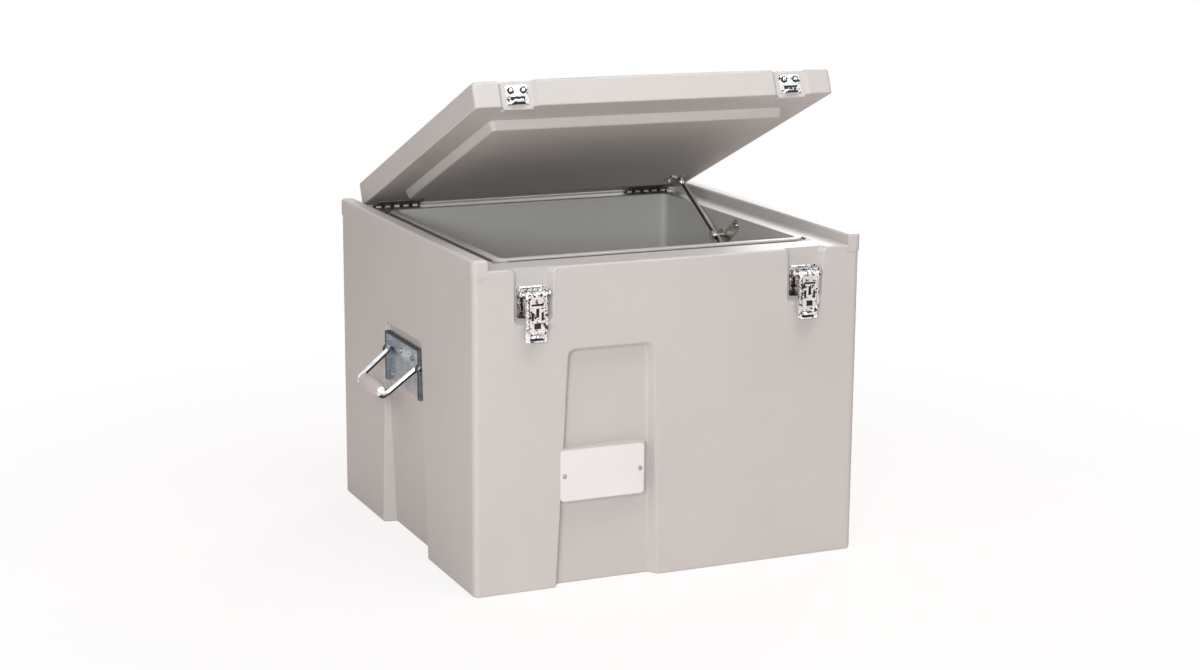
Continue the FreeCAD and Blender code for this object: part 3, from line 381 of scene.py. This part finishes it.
by_slot = {"shell": moulded, "foam": foam_surface(), "chrome": chrome, "zinc": zinc, "steel": steel,
           "label": enamel, "grip": grip_plastic}
for node in nodes.values():
    node.material_slots[0].material = by_slot[node.data.materials[0].name.split(".")[0]]
nodes["body_skin"].material_slots[0].material = moulded_plastic("moulded_body", MOULDED, shaded_groove=True)
nodes["stay_arm"].material_slots[0].material = stay_bar()
leaf_zinc = hinge_zinc()
for side in LATCH_MIDDLES:
    nodes["bail_" + side].material_slots[0].material = wire
    nodes["hinge_fixed_leaf_" + side].material_slots[0].material = leaf_zinc
    nodes["hinge_moving_leaf_" + side].material_slots[0].material = leaf_zinc
    nodes["latch_base_" + side].material_slots[0].material = base_chrome
    nodes["latch_pin_" + side].material_slots[0].material = steel


def clear():
    """Object mode with nothing selected."""
    if bpy.context.object and bpy.context.object.mode != "OBJECT":
        bpy.ops.object.mode_set(mode="OBJECT")
    bpy.ops.object.select_all(action="DESELECT")


def take(piece):
    """The piece alone is selected and active."""
    clear()
    bpy.context.view_layer.objects.active = piece
    piece.select_set(True)


def settle(name):
    """Names the new primitive and puts its place and turn into its mesh."""
    piece = bpy.context.object
    piece.name = name
    piece.data.name = name
    bpy.ops.object.transform_apply(location=True, rotation=True, scale=True)
    return piece


def block(name, x, y, z):
    """A box over three spans in mm."""
    clear()
    spans = (x, y, z)
    bpy.ops.mesh.primitive_cube_add(size=1, location=[(low + high) / 2 * MM for low, high in spans],
                                    scale=[(high - low) * MM for low, high in spans])
    return settle(name)


def drum(name, start, end, radius, sides=24):
    """A round bar between two points in mm."""
    clear()
    start, end = Vector(start) * MM, Vector(end) * MM
    turn = (end - start).to_track_quat("Z", "Y").to_euler()
    bpy.ops.mesh.primitive_cylinder_add(vertices=sides, radius=radius * MM, depth=(end - start).length,
                                        location=(start + end) / 2, rotation=turn)
    return settle(name)


def pick_faces(piece, wanted):
    """Edit mode with the faces selected whose middle in mm and normal are wanted."""
    take(piece)
    bpy.context.tool_settings.mesh_select_mode = (False, False, True)
    mesh = piece.data
    mesh.vertices.foreach_set("select", [False] * len(mesh.vertices))
    mesh.edges.foreach_set("select", [False] * len(mesh.edges))
    for face in mesh.polygons:
        face.select = bool(wanted(face.center / MM, face.normal))
    bpy.ops.object.mode_set(mode="EDIT")


def pick_edges(piece, wanted):
    """Edit mode with the edges selected whose two ends in mm are wanted."""
    take(piece)
    bpy.context.tool_settings.mesh_select_mode = (False, True, False)
    mesh = piece.data
    mesh.vertices.foreach_set("select", [False] * len(mesh.vertices))
    mesh.polygons.foreach_set("select", [False] * len(mesh.polygons))
    for edge in mesh.edges:
        first, second = (mesh.vertices[index].co / MM for index in edge.vertices)
        edge.select = bool(wanted(first, second))
    bpy.ops.object.mode_set(mode="EDIT")


def push(x, y, z):
    """Extrudes what is selected by a step in mm."""
    bpy.ops.mesh.extrude_region_move(TRANSFORM_OT_translate={"value": (x * MM, y * MM, z * MM)})


def round_off(width, segments=3):
    """Bevels the selected edges."""
    bpy.ops.mesh.bevel(offset=width * MM, segments=segments, affect="EDGES")
    bpy.ops.object.mode_set(mode="OBJECT")


def carve(piece, tool, operation="DIFFERENCE"):
    """Cuts the tool's shape out of the piece, or adds it to it, and takes the tool away."""
    take(piece)
    cut = piece.modifiers.new("carve", "BOOLEAN")
    cut.operation = operation
    cut.solver = "EXACT"
    cut.object = tool
    bpy.ops.object.modifier_apply(modifier="carve")
    bpy.data.objects.remove(tool)


def soften(piece, width, segments=2):
    """Rounds every sharp edge a little and shades the piece smooth."""
    take(piece)
    bevel = piece.modifiers.new("soften", "BEVEL")
    bevel.width = width * MM
    bevel.segments = segments
    bevel.limit_method = "ANGLE"
    bevel.angle_limit = math.radians(35)
    bpy.ops.object.modifier_apply(modifier="soften")
    bpy.ops.object.shade_smooth_by_angle(angle=math.radians(38))


def joined(name, parts):
    """One piece from several that don't share faces."""
    clear()
    for part in parts:
        part.select_set(True)
    bpy.context.view_layer.objects.active = parts[0]
    bpy.ops.object.join()
    parts[0].name = name
    parts[0].data.name = name
    return parts[0]


def raised(piece):
    """Turns a piece that was drawn with the lid closed up to the lid's rest position."""
    pivot = Matrix.Translation((0, HINGE_Y * MM, HINGE_Z * MM))
    piece.matrix_world = pivot @ Matrix.Rotation(LID_TURN, 4, "X") @ pivot.inverted() @ piece.matrix_world
    take(piece)
    bpy.ops.object.transform_apply(location=True, rotation=True, scale=True)
    return piece


def fit(piece, body, finish, slot, *stood_for):
    """Gives the piece its finish, and lets it ride on a body and stand for CAD nodes."""
    piece.data.materials.clear()
    piece.data.materials.append(finish)
    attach(piece, body)
    if stood_for:
        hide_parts(*stood_for)
    return piece


def latch_handle(side, cx):
    """The latch's lever: a pressed channel with toothed rails, a slotted foot and a lip to pull it by."""
    half, sheet, foot, top = 15.5, 1.5, 364.5, 430.0
    web_front, web_back = -301.4, -299.9
    rail_front, rail_back, rail_in = -305.2, -301.0, 12.6
    first_tooth, tooth_pitch, tooth_gap = 388.0, 5.4, 2.6
    lever = block("latch_handle_" + side, (cx - half, cx + half), (web_front, web_back), (foot, top))
    pick_faces(lever, lambda place, normal: normal.z < -0.9)
    for y, z in ((-0.6, -1.6), (-0.9, -1.6), (-0.9, -1.3)):
        push(0, y, z)
    bpy.ops.object.mode_set(mode="OBJECT")
    pick_edges(lever, lambda a, b: abs(a.x - b.x) < 0.01 and max(a.z, b.z) < 360.2 and abs(a.y - b.y) > 1)
    round_off(4.0, 5)
    for way in (-1, 1):
        outer = cx + way * half
        rail = block("rail", sorted((outer, cx + way * rail_in)), (rail_front, rail_back), (374.0, 424.0))
        pick_edges(rail, lambda a, b: abs(a.x - b.x) > 1 and max(a.y, b.y) < -305)
        round_off(3.0, 3)
        for step in range(6):
            z = first_tooth + step * tooth_pitch
            carve(rail, block("tooth", (cx - 20, cx + 20), (-306.0, -303.0), (z, z + tooth_gap)))
        carve(lever, rail, "UNION")
        cheek = block("cheek", sorted((outer, outer - way * sheet)), (-300.5, -289.6), (396.0, top))
        pick_edges(cheek, lambda a, b: abs(a.x - b.x) > 1 and min(a.y, b.y) > -290)
        round_off(7.0, 5)
        carve(lever, cheek, "UNION")
        lug_in = cx + way * 11.9
        lug = block("lug", sorted((lug_in, lug_in + way * sheet)), (-307.4, rail_back), (421.5, 429.0))
        pick_edges(lug, lambda a, b: abs(a.x - b.x) > 1 and max(a.y, b.y) < -307)
        round_off(2.4, 4)
        carve(lever, lug, "UNION")
    lip_front, lip_middle = -304.6, 367.6
    lip = block("lip", (cx - 10.5, cx + 10.5), (lip_front, rail_back), (366.5, 371.5))
    pick_faces(lip, lambda place, normal: normal.y < -0.9)
    bpy.ops.transform.resize(value=(0.92, 1, 0.55),
                             center_override=(cx * MM, lip_front * MM, lip_middle * MM))
    push(0, -2.6, -1.2)
    bpy.ops.transform.resize(value=(0.94, 1, 0.7))
    bpy.ops.object.mode_set(mode="OBJECT")
    carve(lever, lip, "UNION")
    carve(lever, block("slot", (cx - 9.5, cx + 9.5), (-304.0, -298.0), (361.6, 365.4)))
    soften(lever, 0.35)
    return fit(lever, "latch_lever_" + side, latch_chrome, "chrome", "latch_lever_" + side)


def latch_hook(side, cx):
    """The latch's claw: a rolled eye, a waisted plate with slots, a window and a square hook end."""
    half, waist = 11.5, 396.5
    eye_y, eye_z, eye_radius, bore_radius = -305.0, 426.5, 2.6, 1.55
    cut = (-307, -303)
    claw = block("latch_hook_" + side, (cx - half, cx + half), (-305.8, -304.2), (376.5, 424.5))
    pick_edges(claw, lambda a, b: abs(a.y - b.y) > 1 and max(a.z, b.z) < 377)
    round_off(5.0, 5)
    window = (-5.0, 5.0, 379.0, 387.0)
    side_slots = ((-9.2, -5.6, 390.5, 402.0), (5.6, 9.2, 390.5, 402.0))
    keyway = (-2.2, 2.2, 395.0, 407.5)
    cross_slot = (-8.5, 8.5, 411.0, 413.8)
    for x0, x1, z0, z1 in (window, *side_slots, keyway, cross_slot):
        carve(claw, block("slot", (cx + x0, cx + x1), cut, (z0, z1)))
    for way in (-1, 1):
        x = cx + way * 13.4
        carve(claw, drum("waist", (x, cut[0], waist), (x, cut[1], waist), 4.2, 20))
    eye = drum("eye", (cx - half, eye_y, eye_z), (cx + half, eye_y, eye_z), eye_radius, 28)
    carve(claw, eye, "UNION")
    for way in (-1, 1):
        x = cx + way * 4.8
        carve(claw, block("notch", (x - 1.7, x + 1.7), (-308, -302), (423.0, 430)))
    carve(claw, drum("bore", (cx - 13, eye_y, eye_z), (cx + 13, eye_y, eye_z), bore_radius, 20))
    soften(claw, 0.3)
    return fit(claw, "latch_claw_" + side, latch_chrome, "chrome", "latch_claw_" + side)


def latch_trim(side, cx):
    """Rolled top edge of the latch's base plate, and dark strips behind its slots as painted shade."""
    half, roll_y, roll_z, roll_radius = 19.0, -285.6, 434.0, 1.5
    roll = drum("latch_roll_" + side, (cx - half, roll_y, roll_z), (cx + half, roll_y, roll_z),
                roll_radius, 20)
    pick_faces(roll, lambda place, normal: abs(normal.x) > 0.9)
    bpy.ops.mesh.inset(thickness=0.5 * MM, depth=0.4 * MM)
    bpy.ops.object.mode_set(mode="OBJECT")
    soften(roll, 0.2)
    fit(roll, "chest", latch_chrome, "chrome")
    # Dark strips behind the lever's slots: painted shade seen through them
    behind_claw = ((-10.0, 10.0), (-302.4, -301.3), (378.0, 416.0))
    behind_foot = ((-10.5, 10.5), (-299.95, -299.3), (361.0, 366.2))
    strips = []
    for x, y, z in (behind_claw, behind_foot):
        strip = block("strip", (cx + x[0], cx + x[1]), y, z)
        pick_edges(strip, lambda a, b: abs(a.y - b.y) > 0.5)
        round_off(0.8, 2)
        strips.append(strip)
    fit(joined("latch_shade_strips_" + side, strips), "latch_lever_" + side, shade_dark_steel, "steel")


def screw_head(place, axis, radius, height, slot_turn, cross, recess):
    """A domed screw head with a cross or a slot of some depth, standing on a face at a place in mm."""
    place, axis = Vector(place), Vector(axis).normalized()
    head = drum("screw", place - axis * (recess + 0.3 - height * 0.5), place + axis * height, radius, 28)
    pick_faces(head, lambda middle, normal: normal.dot(axis) > 0.9)
    for inset, drop in ((0.22, 0.10), (0.22, 0.06), (0.2, 0.03)):
        bpy.ops.mesh.inset(thickness=radius * inset * MM, depth=0)
        bpy.ops.transform.translate(value=axis * height * drop * 2 * MM)
    bpy.ops.object.mode_set(mode="OBJECT")
    top = place + axis * (height * DOME + 0.01)
    across = axis.orthogonal().normalized()
    across.rotate(Matrix.Rotation(slot_turn, 3, axis))
    for number in range(2 if cross else 1):
        clear()
        long = radius * (1.15 if cross else 2.2)
        bpy.ops.mesh.primitive_cube_add(size=1)
        tool = bpy.context.object
        frame_axes = Matrix((across, axis.cross(across), axis)).transposed().to_4x4()
        tool.matrix_world = (Matrix.Translation(top * MM) @ frame_axes
                             @ Matrix.Diagonal((long * MM, radius * 0.26 * MM, 2 * recess * MM, 1)))
        bpy.ops.object.transform_apply(location=True, rotation=True, scale=True)
        carve(head, tool)
        across = axis.cross(across)
    take(head)
    bpy.ops.object.shade_smooth_by_angle(angle=math.radians(30))
    return head


def screw_set(name, places, axis, radius, height, body, finish, slot, node,
              cross=True, recess=1.0, lid=False):
    """The screws that stand for one CAD node."""
    heads = [screw_head(place, axis, radius, height, 0.4 + 1.1 * number, cross, recess)
             for number, place in enumerate(places)]
    screws = joined(name, heads)
    if lid:
        raised(screws)
    return fit(screws, body, finish, slot, node)


def shade_ring_set(name, places, axis, radius, thickness, body, finish, slot, lid=False):
    """Dark rings under screw heads, as painted shade round each head."""
    rings = []
    axis = Vector(axis)
    for place in places:
        place = Vector(place)
        ring = drum("ring", place, place + axis * thickness, radius, 28)
        pick_faces(ring, lambda middle, normal: normal.dot(axis) > 0.9)
        bpy.ops.mesh.inset(thickness=radius * 0.18 * MM, depth=0.15 * MM)
        bpy.ops.object.mode_set(mode="OBJECT")
        rings.append(ring)
    piece = joined(name, rings)
    if lid:
        raised(piece)
    return fit(piece, body, finish, slot)


def strike_plate(side, cx):
    """Strike in the lid's notch: a slotted plate whose foot is turned out and up for the claw.

    Dark blocks in the gap behind its slot and under its foot are painted shade.
    """
    half, face, back, low, high = 16.5, -280.0, -278.5, 468.6, 496.0
    slot_half, hook_half, gap_half, foot_half = 10.8, 8.8, 11.6, 9.6
    plate = block("strike_plate_" + side, (cx - half, cx + half), (face, back), (low, high))
    pick_edges(plate, lambda a, b: abs(a.y - b.y) > 1 and min(a.z, b.z) > 495)
    round_off(3.0, 4)
    carve(plate, block("slot", (cx - slot_half, cx + slot_half), (-281, -277), (474.4, 479.8)))
    hook = block("hook", (cx - hook_half, cx + hook_half), (-286.6, -279.5), (470.6, 472.1))
    pick_faces(hook, lambda place, normal: normal.y < -0.9)
    for y, z in ((-0.9, 0.3), (-0.7, 0.8), (-0.1, 0.9)):
        push(0, y, z)
    bpy.ops.object.mode_set(mode="OBJECT")
    carve(plate, hook, "UNION")
    soften(plate, 0.3)
    raised(plate)
    fit(plate, "lid", latch_chrome, "chrome", "strike_" + side)
    # Painted shade: dark blocks in the slot's gap and under the foot
    gap = block("strike_shade_blocks_" + side, (cx - gap_half, cx + gap_half), (-279.3, -278.4), (473.6, 480.6))
    foot = block("foot", (cx - foot_half, cx + foot_half), (-283.4, -279.6), (468.9, 470.5))
    for part in (gap, foot):
        pick_edges(part, lambda a, b: abs(a.y - b.y) > 0.5)
        round_off(0.6, 2)
    shaded = joined("strike_shade_blocks_" + side, [gap, foot])
    raised(shaded)
    fit(shaded, "lid", shade_dark_steel, "steel")


for side, cx in LATCH_MIDDLES.items():
    latch_handle(side, cx)
    latch_hook(side, cx)
    latch_trim(side, cx)
for side, cx in LATCH_MIDDLES.items():
    strike_plate(side, cx)
strike_reach, strike_face, strike_row = 9.3, -280.0, 488.8
strike_screws = [(cx + way * strike_reach, strike_face, strike_row)
                 for cx in LATCH_MIDDLES.values() for way in (-1, 1)]
# Dark rings round the strike screws: painted shade
shade_ring_set("strike_shade_rings", strike_screws, FORWARD, 5.0, 0.7, "lid", shade_dark_steel, "steel", lid=True)
screw_set("strike_heads", [(x, y - 0.6, z) for x, y, z in strike_screws], FORWARD, 2.5, 1.8, "lid",
          chrome, "chrome", "strike_screws", lid=True)


def keen_edges(node, width):
    """Rounds a CAD metal piece's sharp edges so that they catch the light."""
    weld = nodes[node].modifiers.new("weld", "WELD")
    weld.merge_threshold = 0.00001
    bevel = nodes[node].modifiers.new("soften", "BEVEL")
    bevel.width = width * MM
    bevel.segments = 2
    bevel.limit_method = "ANGLE"
    bevel.angle_limit = math.radians(40)
    bevel.harden_normals = True


for side in LATCH_MIDDLES:
    for kind in ("handle_plate", "latch_base", "hinge_fixed_leaf", "hinge_moving_leaf"):
        keen_edges(kind + "_" + side, 0.35)
for kind in ("stay_wall_plate", "stay_arm", "stay_bracket", "label_plate"):
    keen_edges(kind, 0.3)


# Screws, each at the CAD's own place; a countersunk head is nearly flush with its plate
SUNK = 0.1
label_face, label_row, label_columns = -294.0, 162.5, (-165.5, -49.5)
screw_set("label_heads", [(x, label_face, label_row) for x in label_columns], FORWARD, 3.2, 1.5,
          "chest", zinc, "zinc", "label_screws", cross=False)

stay_face = 230.8
stay_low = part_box("stay_wall_screws")[0]
stay_head = (stay_face - stay_low.x / MM) / DOME
screw_set("stay_wall_heads", [(stay_face, -32.5, 452.0), (stay_face, 20.5, 412.0)], (-1, 0, 0), 4.0,
          stay_head, "chest", zinc, "steel", "stay_wall_screws")

leaf_pitch, leaf_row, leaf_stagger = 25.33, 250.5, 3
leaf_screws = [(middle + leaf_pitch * number, leaf_row + leaf_stagger * (1 if number == 0 else -1))
               for middle in (-HINGE_MIDDLE, HINGE_MIDDLE) for number in (-1, 0, 1)]
fixed_leaf_face, moving_leaf_face = 463.0, 463.5
screw_set("hinge_body_heads", [(x, y, fixed_leaf_face) for x, y in leaf_screws], UPWARD, 3.9, SUNK,
          "chest", zinc, "zinc", "hinge_body_screws", recess=0.8)
screw_set("hinge_lid_heads", [(x, y, moving_leaf_face) for x, y in leaf_screws], DOWNWARD, 3.9, SUNK,
          "lid", zinc, "zinc", "hinge_lid_screws", recess=0.8, lid=True)

low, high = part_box("stay_bracket_screws")
bracket_x = (low.x + high.x) / 2 / MM
bracket_y, bracket_reach, bracket_face = 137.5, 12.0, 449.5
screw_set("stay_bracket_heads",
          [(bracket_x, bracket_y + way * bracket_reach, bracket_face) for way in (-1, 1)],
          DOWNWARD, 4.0, 2.4, "lid", zinc, "steel", "stay_bracket_screws", lid=True)

latch_face, latch_reach, latch_rows = -285.0, 9, (397.0, 413.0)
handle_face = 295.5
handle_screws = ((-27, 286.5), (27, 286.5), (-62, 243.0), (62, 243.0))
for side, cx in LATCH_MIDDLES.items():
    way = -1 if side == "left" else 1
    screw_set("latch_plate_heads_" + side,
              [(cx + x, latch_face, z) for x in (-latch_reach, latch_reach) for z in latch_rows],
              FORWARD, 3.9, SUNK, "chest", zinc, "chrome", "latch_screws_" + side, recess=0.8)
    screw_set("handle_heads_" + side, [(way * handle_face, y - 0.5, z) for y, z in handle_screws],
              (way, 0, 0), 4.0, 2.2, "chest", zinc, "zinc", "handle_screws_" + side, cross=False)


def grip_ferrules(side):
    """Bright cups that close the two ends of a bail's grip."""
    inward, outward, radius, bore = 2.5, 3.5, 8.8, 4.05
    low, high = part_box("grip_" + side)
    middle = (low + high) / 2 / MM
    cups = []
    for way in (-1, 1):
        end = (high.y if way > 0 else low.y) / MM
        cup = drum("cup", (middle.x, end - way * inward, middle.z),
                   (middle.x, end + way * outward, middle.z), radius, 32)
        pick_faces(cup, lambda place, normal: normal.y * way > 0.9)
        bpy.ops.mesh.inset(thickness=2.4 * MM, depth=0)
        bpy.ops.transform.translate(value=(0, way * 2.2 * MM, 0))
        bpy.ops.mesh.inset(thickness=1.6 * MM, depth=0)
        bpy.ops.transform.translate(value=(0, way * 0.6 * MM, 0))
        bpy.ops.object.mode_set(mode="OBJECT")
        carve(cup, drum("bore", (middle.x, end - way * 4, middle.z),
                        (middle.x, end + way * 9, middle.z), bore, 32))
        soften(cup, 0.3)
        cups.append(cup)
    return fit(joined("grip_ferrules_" + side, cups), "bail_" + side, wire, "chrome")


for side in LATCH_MIDDLES:
    grip_ferrules(side)


def mark_stage():
    """Pale floor that shows white to the camera and keeps the object's soft shadow."""
    bpy.ops.mesh.primitive_plane_add(size=60, location=(0, 0, 0))
    floor = bpy.context.object
    floor.name = "floor"
    finish = Finish("floor_white", (0.9, 0.82, 0.79, 1), 0.9)
    tree = finish.tree
    seen = finish.make("ShaderNodeLightPath", {}, {}, "Is Camera Ray")
    glow = tree.nodes.new("ShaderNodeEmission")
    glow.inputs[0].default_value = (1, 1, 1, 1)
    glow.inputs[1].default_value = 1.0
    blend = tree.nodes.new("ShaderNodeMixShader")
    x, y, z = finish.split()
    away = ((x * x + y * y) ** 0.5).smooth(0.5, 1.4)
    finish.put(blend.inputs[0], seen * (0.82 + 0.18 * away))
    tree.links.new(finish.shader.outputs[0], blend.inputs[1])
    tree.links.new(glow.outputs[0], blend.inputs[2])
    tree.links.new(blend.outputs[0], tree.nodes["Material Output"].inputs[0])
    floor.data.materials.append(finish.material)
    floor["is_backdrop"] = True


def lamp(name, place, aim, size, power, colour=(1, 1, 1)):
    data = bpy.data.lights.new(name, "AREA")
    data.shape = "RECTANGLE"
    data.size, data.size_y = size
    data.energy = power
    data.color = colour
    lamp_object = bpy.data.objects.new(name, data)
    bpy.context.scene.collection.objects.link(lamp_object)
    lamp_object.location = place
    lamp_object.rotation_euler = (Vector(aim) - Vector(place)).to_track_quat("-Z", "Y").to_euler()


def light_scene():
    """White surroundings to camera and gloss, plain soft light on the object."""
    world = bpy.data.worlds.new("studio")
    bpy.context.scene.world = world
    world.use_nodes = True
    tree = world.node_tree
    soft = tree.nodes["Background"]
    soft.inputs[0].default_value = (1.0, 0.80, 0.78, 1)
    soft.inputs[1].default_value = 0.16
    white = tree.nodes.new("ShaderNodeBackground")
    white.inputs[0].default_value = (1, 1, 1, 1)
    white.inputs[1].default_value = 1.0
    path = tree.nodes.new("ShaderNodeLightPath")
    either = tree.nodes.new("ShaderNodeMath")
    either.operation = "MAXIMUM"
    tree.links.new(path.outputs["Is Camera Ray"], either.inputs[0])
    tree.links.new(path.outputs["Is Glossy Ray"], either.inputs[1])
    mixer = tree.nodes.new("ShaderNodeMixShader")
    tree.links.new(either.outputs[0], mixer.inputs[0])
    tree.links.new(soft.outputs[0], mixer.inputs[1])
    tree.links.new(white.outputs[0], mixer.inputs[2])
    tree.links.new(mixer.outputs[0], tree.nodes["World Output"].inputs[0])
    lamp("key", (-2.4, -3.7, 1.55), (0, 0, 0.42), (1.6, 1.3), 116, (0.922, 0.985, 0.998))
    lamp("side", (-2.6, -0.9, 2.1), (-0.2, 0, 0.4), (1.3, 1.3), 15, (1.0, 0.93, 0.88))
    lamp("top", (0.3, -1.0, 3.0), (0, 0, 0.3), (1.6, 1.6), 52)
    lamp("low", (-0.5, -2.6, 0.15), (0, 0.1, 0.62), (1.4, 0.25), 1.2, (1, 0.45, 0.35))
    lamp("rear", (2.6, 2.9, 2.2), (0, 0, 0.3), (1.6, 1.6), 72, (1.0, 0.98, 0.97))


def aim_camera(yaw, pitch, roll, place, focal):
    """The camera that was fitted to the chest's edges in the photo.

    Its angles are in degrees, its place in mm and its focal length in pixels of a 1200 wide image.
    """
    yaw, pitch, roll = (math.radians(angle) for angle in (yaw, pitch, roll))
    ahead = Vector((math.sin(yaw) * math.cos(pitch), math.cos(yaw) * math.cos(pitch), -math.sin(pitch)))
    across = Vector((math.cos(yaw), -math.sin(yaw), 0))
    up = across.cross(ahead)
    right = across * math.cos(roll) + up * math.sin(roll)
    top = up * math.cos(roll) - across * math.sin(roll)
    turn = Matrix((right, top, -ahead)).transposed()
    camera = bpy.data.objects.new("photo_camera", bpy.data.cameras.new("photo_camera"))
    bpy.context.scene.collection.objects.link(camera)
    camera.matrix_world = Matrix.Translation(Vector(place) * MM) @ turn.to_4x4()
    camera.data.sensor_width = 36
    camera.data.lens = focal * 36 / 1200
    camera.data.clip_end = 100
    bpy.context.scene.camera = camera


mark_stage()
light_scene()
aim_camera(23.96, 12.35, 0.40, (-1362.0, -3105.1, 1033.9), 2270)
bpy.context.scene.view_settings.view_transform = "Standard"

low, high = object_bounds()
